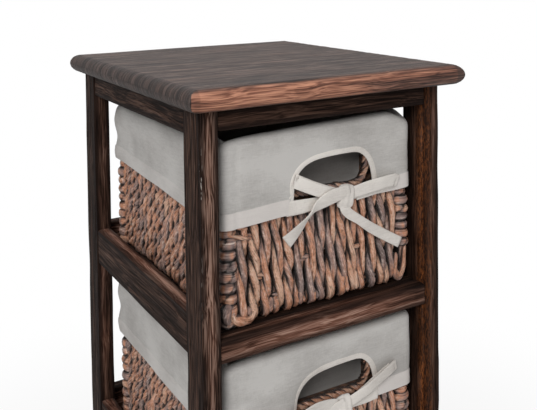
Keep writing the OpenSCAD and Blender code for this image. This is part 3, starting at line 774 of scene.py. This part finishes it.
def unit(vectors):
    """Vectors of length 1 in the directions of the given ones."""
    return vectors / np.linalg.norm(vectors, axis=-1, keepdims=True)


def smooth_path(knots, count):
    """Points at even steps on a Catmull-Rom curve: a cubic between each two of the given points, with
    the slopes that their neighbours give. The first three columns set the length."""
    k = np.asarray(knots, float)
    k = np.vstack([2 * k[0] - k[1], k, 2 * k[-1] - k[-2]])
    t = np.linspace(0, 1, 16, endpoint=False)[:, None]
    fine = [0.5 * (2 * b + (c - a) * t + (2 * a - 5 * b + 4 * c - d) * t ** 2
                   + (3 * b - a - 3 * c + d) * t ** 3) for a, b, c, d in zip(k, k[1:], k[2:], k[3:])]
    fine = np.vstack(fine + [k[-2][None]])
    run = run_along(fine[:, :3])
    return stacked(*(np.interp(np.linspace(0, run[-1], count), run, c) for c in fine.T))


def flat_cord(rng, x, knots, ply_r, pitch, depth, seed, count, rough=1):
    """A two-ply cord at a depth behind the basket's front, along a curve through points, each of them
    its distance from x and its height."""
    path = smooth_path(knots, count)
    centre = np.c_[x + path[:, 0], np.full(count, depth + FRONT_Y), path[:, 1]]
    out = np.broadcast_to(FORWARD, centre.shape)
    side = np.cross(unit(np.gradient(centre, axis=0)), out)
    return two_ply(centre[None], out[None], side[None], run_along(centre)[None], pitch, 0.6, rng, ply_r,
                   rough=rough, seed=seed)


def corner_columns(n):
    rng = np.random.default_rng(200 + n)
    bundle = Bundle()
    for k, corner in enumerate(CORNERS):
        foot, pitch = (40, BEAD_PITCH) if corner == BEADS else (5.5, WRAP_PITCH)
        heights = np.arange(foot, STRAND_TOP - pitch / 2, pitch)
        thick = rng.uniform(0.55, 0.64, len(heights)) * pitch
        if corner != BEADS:
            thick[:2] += 0.8
        bulk = rng.uniform(0.9, 1.04, (len(heights), 1, 1))
        bundle.add(*wrap_rings(corner, heights, thick, bulk, rng, 10 * n + k), closed=True)
        middle, aside = column_middle(corner), corner[0] * STAND_OUT.get(corner, (0, 0))[0]
        bundle.add(*column_core(middle + (aside, 0), foot, CORE_STEP_Z))
        bundle.add(*column_core(middle, CORE_STEP_Z, STRAND_TOP - 2))
    loop = [(-4.5, 50), (-4, 30), (-4.5, 12), (-9.5, 5), (-14.5, 12), (-14, 30)]
    left_end = [(4, 23), (5, 12), (10, 6), (18, 5), (27, 7), (28, 15)]
    cords = [(BASKET_W / 2, loop, (2.9, 3.4), 70, 6, n, 60),
             (-BASKET_W / 2, left_end, (3.7, 5.2), 60, 4.6, n + 5, 60, 1.4)]
    cords += [(x, [(-6, z - 1), (0, z), (6, z + 1)], (2, 2.6), 26, 4.4, n + round(x), 16)
              for x, z in WEFT_BITS]
    cords += [(x, [(-2.5, z), (-1, z * 0.55), (1, 5)], (2.9, 3.5), 50, 3.9, n + round(x), 20)
              for x, z in STUBS]
    cords += [(-BASKET_W / 2, [(5, z + 1), (14, z), (26, z - 2.5)], (2.2, 2.8), 40, 2.5, n + k, 24)
              for k, z in enumerate((79, 88))]
    for cord in cords:
        bundle.add(*flat_cord(rng, *cord))
    bundle.piece(n, "columns", "corner_wraps")


for n in LEVELS:
    corner_columns(n)

# Ropes of the baskets: one runs round the rim under the cloth and sinks a little at the corners, and
# one follows the lower and the right edge of the hand hole. Between them and behind the strands are
# the woven walls and the woven bottom, which are CAD solids in the same leaf, coloured dark as
# painted shade.
RIM_R = 5.5
RIM_OFFSET = -RIM_R - 0.4
RIM_Z = box_mm("basket_1_rim")[1][2] - STRANDS_LOW[2] + LAY_GAP - RIM_R
RIM_POINTS = (40, 50)
WEAVE_PITCH = 9
# How far the rim of each basket sinks at the front left, the front right and the back corners, and how
# far it stands up along the front, at its left and right end.
DROOPS = {1: (2, 10.5, 4), 2: (3, -1, 4), 3: (4, 1, 3)}
FRONT_RISES = {1: (1, 9.5), 2: (3.5, 3.5), 3: (1, 2)}


def droop(places, n):
    """How far the rim sinks: most at the corners, fading over 17 along the sides, less the rise of the
    front, which is even from left to right and fades over 60 to the back."""
    x, y = places.T
    gap = (HALF_SIZE - np.abs(places)).clip(0).max(-1)
    left, right, back = DROOPS[n]
    most = np.where(y > 0, back, np.where(x < 0, left, right))
    at_left, at_right = FRONT_RISES[n]
    rise = at_left + (at_right - at_left) * (0.5 + 0.5 * x / HALF_SIZE[0])
    return most * bell(gap, 17) - rise * bell(y - FRONT_Y, 60)


def basket_ropes(n):
    rng = np.random.default_rng(300 + n)
    rim, hole = Bundle(), Bundle()
    height = RIM_Z - droop(basket_outline(RIM_OFFSET, *RIM_POINTS)[0], n)
    rim.add(*level_ring(RIM_OFFSET, height, (2.5, 3), 40, rng, n, *RIM_POINTS), closed=True)
    rim.piece(n, "rim_rope", "rim")
    low, left, right = HOLE_Z + 0.5, -HOLE_W / 2, HOLE_W / 2
    edge = [(left - 3, low + 3), (left + 6, low), (-8, low), (right - 18, low - 0.5),
            (right - 7, low + 4), (right - 2, low + 16), (right - 5, low + 32)]
    hole.add(*flat_cord(rng, HOLE_X, edge, (2.5, 3.3), 17, 5, n, 190, 1.8))
    hole.piece(n, "hole_rope", "strands")


def woven_leaf(name, level):
    """The flat weave behind the strands: cords coloured dark as painted shade, level round the walls
    or along X.
    """
    material, start, place = start_material(name)
    x, y, z = place.node("SeparateXYZ", None, {0: place}, (0, 1, 2))
    across, along = (z, x + y) if level else (y, x)
    wave = across * (2 * math.pi / (WEAVE_PITCH * MM)) + (along * 500).math("SINE") * 0.5
    cord = wave.math("SINE") * 0.5 + 0.5
    shade = cord * 0.45 + place.noise((160, 160, 160), 3, 0.6) * 0.6
    colour = shade.ramp((0.2, 28, 19, 15), (0.6, 78, 56, 45), (0.95, 132, 98, 76))
    end_material(start, colour, 0.75, shade, 0.002)
    return material


for n in LEVELS:
    basket_ropes(n)
finish_nodes(woven_leaf("wall_weave", True), *(f"basket_{n}_walls" for n in LEVELS))
finish_nodes(woven_leaf("base_weave", False), *(f"basket_{n}_base" for n in LEVELS))

# Liner: a cotton bag that lines each basket. It folds over the rim rope and hangs outside as a flap,
# whose lower edge is a sewn casing. The front flap has an arched opening over the hand hole.
CLOTH_T = 0.9
HEM_Z = 93.4
SEAM_X = -89
CREASE_X, CREASE_Z = -92, 134
LOBE_Z, LOBE_PITCH = 107, 34
CASING_H = 14
FLAP_OUT = 1.6
FOLD_R = RIM_R + 1.3
FLAP_EASE = 0.9
LINING_OUT = -17
FLOOR_Z = 6.6
WALL_TOP = box_mm("basket_1_walls")[1][2] - STRANDS_LOW[2] + LAY_GAP + 0.7
# Flat sizes in metres: height of flap, fold and lining, area of the arch, and sides of the bottom.
FLAP_H, ARCH_AREA, BOTTOM_SIDES = 0.235, 0.0045, (0.172, 0.23)
# The line of the binding on the front, as (x, z) from its left foot to its right one.
ARCH = [(-35.4, 88), (-35.3, 96), (-35, 104), (-34.2, 113), (-32.8, 120.3), (-29, 127.5), (-24, 132.7),
        (-17.5, 136.5), (-8, 139.3), (7, 140.8), (24, 141.3), (37, 140.9), (45, 138.3), (52, 132),
        (56, 124.3), (58.3, 115.8), (59.4, 108), (60, 100), (60.2, 92)]
ARCH_FROM, ARCH_POINTS = 21, 78
# For each basket: height of the hem over HEM_Z in the middle, and its rise to the right and the back.
HEM_TILTS = {1: (4.8, 0.0437, 0.0455), 2: (2.8, 0.012, 0.006), 3: (1.5, -0.015, 0.02)}


def cotton_cloth(name, colour, shade, twofold):
    """Plain woven cotton: fine threads both ways as stretched noise, and faint broad clouds. It is paler
    by the attribute double, where two layers lie on each other, and darker by painted shade on the
    lining behind the hand hole, from its second attribute."""
    material, start, place = start_material(name)
    thread = place.noise((260, 260, 1900), 1) * 0.5 + place.noise((1900, 1900, 260), 1) * 0.5
    cloud, slub = place.noise((17, 17, 26), 3), place.noise((90, 90, 700), 2, 0.6)
    tone = thread * 0.35 + cloud * 0.8 + slub * 0.25 - 0.15
    double, hollow = start.own("double", "hollow")
    mixed = tone.ramp((0.38, *shade), (0.66, *colour))
    # Painted shade behind the hand hole draws the lining towards grey brown.
    mixed = mixed.over(double * (0.5 + tone * 0.5), twofold).over(hollow, (66, 60, 56))
    end_material(start, mixed, 0.88, thread * 0.7 + slub * 0.3, 0.00035, Sheen_Weight=0.15,
                 Specular_IOR_Level=0.25)
    return material


cotton = cotton_cloth("cotton", (202, 199, 195), (172, 168, 164), (222, 215, 210))
white_cotton = cotton_cloth("white_cotton", (232, 226, 219), (204, 197, 190), (232, 226, 219))


def hem_line(n, x, y):
    """Height of the hem of a basket at places of its outline."""
    height, to_right, to_back = HEM_TILTS[n]
    return HEM_Z + height + to_right * x + to_back * y


def liner_skin(n):
    """The flap, the fold and the lining as one grid. Each column starts at the hem or on the arch, rises
    to the rim, turns over it on a half circle, goes on to the top of the wall and falls to the bottom.
    The flap bulges by slow noise, is drawn in by the stitches of its casing, a crease and a seam, and
    stands out in lobes at the back left."""
    half = BASKET_W / 2 - CORNER_R
    arch = smooth_path(ARCH, ARCH_POINTS)
    even = np.linspace(arch[0, 0], arch[-1, 0], ARCH_POINTS)
    top_x = np.r_[np.linspace(-half, arch[0, 0], ARCH_FROM + 1)[:-1], 0.6 * arch[:, 0] + 0.4 * even,
                  np.linspace(arch[-1, 0], half, 15)[1:]]
    shares = (np.maximum.accumulate(top_x) + half) / (2 * half)

    def outline(offset):
        """Places and normals of all columns at an offset."""
        return basket_outline(offset, shares, 72, 56)[:2]

    places, normals = outline(FLAP_OUT)
    hem = hem_line(n, *places.T) + 0.9 * smooth_noise(stacked(*places.T / 45, n), 51)
    in_arch = np.zeros(len(places), bool)
    in_arch[ARCH_FROM:ARCH_FROM + ARCH_POINTS] = True
    foot_z, foot_x = hem.copy(), places[:, 0].copy()
    foot_z[in_arch] = np.maximum(arch[:, 1], hem[in_arch])
    foot_x[in_arch] = arch[:, 0]
    rim = RIM_Z - droop(places, n)
    climb = rim - foot_z
    casing = np.array([0, 0.02, 0.3, 0.6, 0.9, 0.97, 1.03, 1.12])[:, None] * CASING_H / climb
    over_casing = CASING_H * 1.3 / climb
    above = over_casing + np.linspace(0, 1, 17)[:, None] * (1 - over_casing)
    share = np.r_[casing, above]
    share = np.where(in_arch, np.linspace(0, 1, len(share))[:, None], share)
    z = foot_z + share * climb
    x = foot_x + share * (places[:, 0] - foot_x)
    y = np.broadcast_to(places[:, 1], z.shape)
    bulge = 1.1 * smooth_noise(stacked(x / 38, y / 38, z / 22), 53 + n)
    bulge += 0.45 * smooth_noise(stacked(x / 13, y / 13, z / 17), 54 + n)
    fullness = np.sin(np.clip(share, 0, 1) * np.pi).clip(0.25)
    crease = bell(z - CREASE_Z - 0.06 * x, 1.5) * bell(x - CREASE_X, 13) * (y < 0)
    low = (z - foot_z < CASING_H) & ~in_arch
    stitches = bell(z - foot_z - CASING_H, 0.9) * ~in_arch
    to_back_left = ((places - HALF_SIZE * (-1, 1)) ** 2).sum(1)
    lobes = np.exp(-to_back_left / 300) * 1.3 * (1 + np.cos((z - LOBE_Z) / LOBE_PITCH * 2 * np.pi))
    seam = bell(x - SEAM_X, 1.3) * (y < FRONT_Y + 4)
    out = FLAP_EASE + bulge * fullness + 0.55 * low - 0.5 * stitches - 1.4 * crease + lobes - 1.5 * seam
    flap = stacked(x + normals[:, 0] * out, y + normals[:, 1] * out, z)
    parts = [flap]
    for angle in np.radians(np.linspace(18, 162, 9)):
        ring = outline(FLAP_OUT + FLAP_EASE - FOLD_R * (1 - np.cos(angle)))[0]
        ruck = 0.025 * smooth_noise(stacked(*ring.T / 16, n), 55)
        parts.append(stacked(*ring.T, rim + FOLD_R * np.sin(angle) * (1 + ruck))[None])
    fold_end = FLAP_OUT + FLAP_EASE - 2 * FOLD_R
    for sink in np.linspace(0.15, 1, 5):
        ring = outline(fold_end * (1 - sink) + LINING_OUT * sink)[0]
        parts.append(stacked(*ring.T, (rim + 1.4) * (1 - sink) + WALL_TOP * sink)[None])
    ring, inward = outline(LINING_OUT)
    for sink in np.linspace(0, 1, 16)[1:]:
        level = WALL_TOP * (1 - sink) + FLOOR_Z * sink
        ruck = 0.5 * smooth_noise(stacked(*ring.T / 30, level / 30), 56) - 0.3
        parts.append(stacked(*(ring - inward * np.abs(ruck)[:, None]).T, level)[None])
    skin = np.concatenate(parts)
    inside = np.arange(len(skin))[:, None] > len(flap) + 9
    # Painted shade on the inner lining behind the hand hole, strongest round the middle of the hole.
    off_hole = ((skin[..., 0] - HOLE_X) / 52) ** 4 + ((skin[..., 2] - HOLE_Z - 18) / 27) ** 4
    double = np.zeros(skin.shape[:2])
    double[:len(flap)] = low * np.where(places[:, 1] < FRONT_Y, 1, 0.3)
    return skin, dict(double=double, hollow=0.8 * np.exp(-off_hole) * (skin[..., 1] < 0) * inside)


def liner_bottom(n):
    """The bottom sheet: a grid in the outline of the lining, with waves of slow noise."""
    half_w, half_d = HALF_SIZE + LINING_OUT - 0.2
    x, y = np.meshgrid(np.linspace(-half_w, half_w, 44), np.linspace(-half_d, half_d, 56))
    waves = np.abs(smooth_noise(stacked(x / 35, y / 35, n), 57))
    return stacked(x, y, FLOOR_Z + 0.4 + 0.8 * waves)


def flat_tube(path, across, half_w, half_t, sides=12):
    """Tube of flattened section along a path, with across as the direction of its width. The section
    is a superellipse, whose sine and cosine are raised to the power 0.6."""
    ahead = unit(np.gradient(path, axis=0))
    across = unit(across - ahead * (across * ahead).sum(1)[:, None])
    a = full_turn(sides)
    u, v = (np.sign(wave) * np.abs(wave) ** 0.6 for wave in (np.cos(a), np.sin(a)))
    return (path[:, None] + across[:, None] * np.reshape(half_w, (-1, 1, 1)) * u[:, None]
            + np.cross(ahead, across)[:, None] * half_t * v[:, None])


def basket_liner(n):
    skin, looks = liner_skin(n)
    liner = basket_piece(n, "lining_and_flap", "cotton", cotton, skin,
                         grid_faces(*skin.shape[:2], flip=True), "liner", thick=CLOTH_T, **looks)
    sheet = liner_bottom(n)
    bottom = basket_piece(n, "liner_bottom", "cotton", cotton, sheet,
                          grid_faces(*sheet.shape[:2], wrap_columns=False), "liner", thick=CLOTH_T)
    line = smooth_path(ARCH, 110)
    line = line[line[:, 1] > hem_line(n, line[:, 0], FRONT_Y) + 0.5]
    path = stacked(line[:, 0], FRONT_Y - FLAP_OUT - 0.6, line[:, 1])
    binding = Bundle()
    binding.add(flat_tube(path, np.cross(np.gradient(path, axis=0), FORWARD), 2.9, 1))
    binding = binding.piece(n, "arch_binding", "binding", "white_cotton", white_cotton)
    perimeter = 2 * (BASKET_W + BASKET_D) * MM
    perimeter * FLAP_H - ARCH_AREA


for n in LEVELS:
    basket_liner(n)

# Bow: a folded cotton tape that leaves the casing at both feet of the arch and is tied in the middle.
# The loops lie flat, the right one is open at its lower edge, and both ends are cut square.
TAPE_T = 0.8
KNOT_LENGTH = 45
# For each basket: the tape's runs. A run is a curve through points (x, distance in front of the
# basket, z, width, twist in degrees). The third bow is the first one, a little shifted.
BOWS = {
    1: [
        [(-40, 2.6, 96.8, 14, 0), (-22, 3.2, 96.6, 13, 0), (-4, 3.6, 97.8, 10, 0), (16, 4.6, 100, 8, 0)],
        [(60, 2.8, 102, 9, 0), (46, 3.2, 100, 10, 0), (32, 4.4, 99, 9, 0)],
        [(19, 5.4, 102.5, 11, 0), (4, 7.4, 105, 12, 5), (-14, 8, 112.5, 12, 8), (-28, 6.6, 119, 12.2, 5),
         (-32, 4.8, 121.3, 12.4, 0), (-28, 3.4, 119.6, 12.2, 0), (-10, 3.2, 111, 12, 0),
         (14, 4, 103, 9, 0)],
        [(28, 5.6, 101, 11, 0), (44, 8.4, 104.2, 13, -8), (62, 9.6, 106.6, 13.5, -14),
         (76, 8, 106.6, 13, -10), (82.5, 5.4, 105.6, 12.5, 0), (77, 3.6, 103.5, 12, 0),
         (58, 3.3, 100.5, 12, 0), (36, 4.2, 97.8, 10, 0)],
        [(25, 9, 107, 9, 0), (16, 9.6, 104.4, 12.5, 6), (3, 8.6, 101.4, 15, 10), (-9, 7, 95.6, 12.5, 20),
         (-17, 5.6, 88, 6.6, 42), (-27, 4.8, 78.4, 9.5, 16), (-41, 3.6, 67, 14.4, 4)],
        [(23, 5.6, 98, 9, 0), (20, 7, 90.5, 10, 0), (25.5, 6.6, 83, 10, 6), (37, 5.6, 75.2, 9.4, 14),
         (52, 4.4, 64.5, 10, 5), (70, 3.9, 53.5, 10.4, 0), (88.5, 3.6, 42.8, 10.6, 0)],
    ],
    2: [
        [(-40, 2.6, 97.5, 14, 0), (-22, 3.2, 97, 13, 0), (-4, 3.6, 97.8, 10, 0), (12, 4.6, 99, 8, 0)],
        [(60, 2.8, 99, 12, 0), (46, 3.2, 98.5, 12, 0), (28, 4.4, 98.5, 9, 0)],
        [(14, 5.4, 101.5, 11, 0), (0, 9, 107, 13, 10), (-18, 12, 110, 15, 20), (-38, 10, 104, 15, 20),
         (-44, 6, 98, 13, 5), (-34, 3.8, 96.5, 12, 0), (-12, 3.6, 97.5, 12, 0), (10, 4, 99, 9, 0)],
        [(22, 5.6, 100.5, 11, 0), (38, 8.6, 107, 12, -8), (56, 10, 115, 12.5, -14),
         (72, 8, 120.5, 12, -10), (79, 5.4, 121.6, 12, 0), (73, 3.6, 117.5, 12, 0),
         (54, 3.3, 108.8, 12, 0), (32, 4.2, 101, 10, 0)],
        [(18, 8.2, 105, 9, 0), (8, 8, 101, 12, 8), (-5, 6.2, 94, 11, 15), (-16, 5.2, 86, 8, 40),
         (-27, 4.8, 76, 10, 20), (-40, 3.6, 60, 13, 5)],
        [(19, 7, 93, 9, 0), (24, 6.4, 86, 10, 0), (32, 5.2, 76, 9, 15), (44, 4.2, 64, 9.6, 5),
         (70, 3.6, 40, 10.6, 0)],
    ],
}
BOWS[3] = [[(x + 2 * (d > 5), d, z + (1.5 if d > 7 else -0.5), w, t + 4) for x, d, z, w, t in run]
           for run in BOWS[1]]
# For each basket: the knot's middle, as x and z, and its lean in degrees.
KNOTS = {1: (23, 99, -10), 2: (18.5, 98.5, 6), 3: (25.5, 99, -14)}


def knot_skin(x, z, lean):
    """The turn of tape round the middle of the bow: an upright oval tube, drawn in at both edges by
    sqrt(1 - 0.55*side^4), with creases that run round it."""
    side, turn = np.linspace(-1, 1, 15)[:, None], full_turn(28)
    draw = np.sqrt(1 - 0.55 * np.abs(side) ** 4)
    fold = 0.5 * np.cos(side * 7 + 0.8 * np.sin(turn + 1))
    fold = fold + 0.4 * smooth_noise(stacked(side * 1.4, np.cos(turn), np.sin(turn)), 71)
    high, deep = (11.6 + fold * 0.6) * draw, (4.5 + fold * 0.8) * draw
    up, out = high * np.sin(turn), 5.4 + deep * np.cos(turn)
    across = side * 7.6 * (1 + 0.16 * np.sin(turn) ** 2)
    a = math.radians(lean)
    return stacked(x + across * math.cos(a) - up * math.sin(a), FRONT_Y - out,
                   z + up * math.cos(a) + across * math.sin(a))


def basket_bow(n):
    bow = Bundle()
    length = KNOT_LENGTH
    for run in BOWS[n]:
        x, distance, z, width, twist = smooth_path(run, 46).T
        path = stacked(x, FRONT_Y - distance, z)
        a = np.radians(twist)[:, None]
        flat = unit(np.cross(np.gradient(path, axis=0), FORWARD))
        path[:, 1] += 0.35 * smooth_noise(stacked(x, distance, z) / 9, 72 + n)
        bow.add(flat_tube(path, flat * np.cos(a) + FORWARD * np.sin(a), width / 2, TAPE_T, sides=16))
        length += run_along(path)[-1]
    bow.add(knot_skin(*KNOTS[n]), flip=True)
    bow.piece(n, "bow", "tie", "white_cotton", white_cotton)


for n in LEVELS:
    basket_bow(n)

# Floor and light: a plain pale floor that turns to pure white away from the object, a white world
# that only the camera, mirrors and glass see, and large soft lamps. The lamp at the front left is the
# strongest, as in the photograph.
FLOOR_SIZE = 6
FLOOR_DROP = 0.0005
AMBIENT = 0.2


def seen_directly(start):
    """1 for rays of the camera, of mirrors and of glass, and 0 for the others."""
    camera_ray, glossy_ray, transmission_ray = start.node("LightPath", out=(0, 3, 6))
    return camera_ray.math("MAXIMUM", glossy_ray).math("MAXIMUM", transmission_ray)


floor_material, start, place = start_material("floor")
away = start.node("VectorMath", {"operation": "LENGTH"}, {0: place}, 1)
plain = start.node("BsdfDiffuse", None, {"Color": (0.85, 0.85, 0.85, 1)})
white = start.node("Emission", None, {"Color": (1, 1, 1, 1), "Strength": 1})
share = seen_directly(start) * (0.82 + away.between(0.35, 1) * 0.18)
mixed = start.node("MixShader", None, {0: share, 1: plain, 2: white})
start.node("OutputMaterial", None, {"Surface": mixed}, ())
floor_mesh = bpy.data.meshes.new("floor")
floor_mesh.from_pydata([(x * FLOOR_SIZE, y * FLOOR_SIZE, -FLOOR_DROP) for x, y in CORNERS], [],
                       [(0, 1, 2, 3)])
floor_mesh.materials.append(floor_material)
floor = add_object("floor", floor_mesh)

world = bpy.data.worlds.new("studio")
bpy.context.scene.world = world
world.use_nodes = True
world.node_tree.nodes.clear()
start = Value(world.node_tree)
strength = seen_directly(start) * (1 - AMBIENT) + AMBIENT
backdrop = start.node("Background", None, {"Color": (1, 1, 1, 1), "Strength": strength})
start.node("OutputWorld", None, {"Surface": backdrop}, ())


def soft_lamp(name, place, aim, size, power):
    """A square lamp that shines from a place to an aim, in metres and watts."""
    data = bpy.data.lights.new(name, "AREA")
    data.size, data.energy = size, power
    lamp = add_object(name, data)
    back = np.array(place, float) - np.array(aim)
    lamp.rotation_euler = (math.atan2(math.hypot(back[0], back[1]), back[2]), 0,
                           math.atan2(back[1], back[0]) + math.pi / 2)
    lamp.location = place


soft_lamp("key_lamp", (-1.55, -1.55, 1.9), (0, 0, 0.4), 1.0, 35)
soft_lamp("fill_lamp", (1.2, -1.9, 1.0), (0, 0, 0.4), 1.4, 7)
soft_lamp("top_lamp", (-0.2, 0.3, 2.2), (0, 0, 0.5), 1.2, 13)
bpy.context.scene.view_settings.view_transform = "Standard"
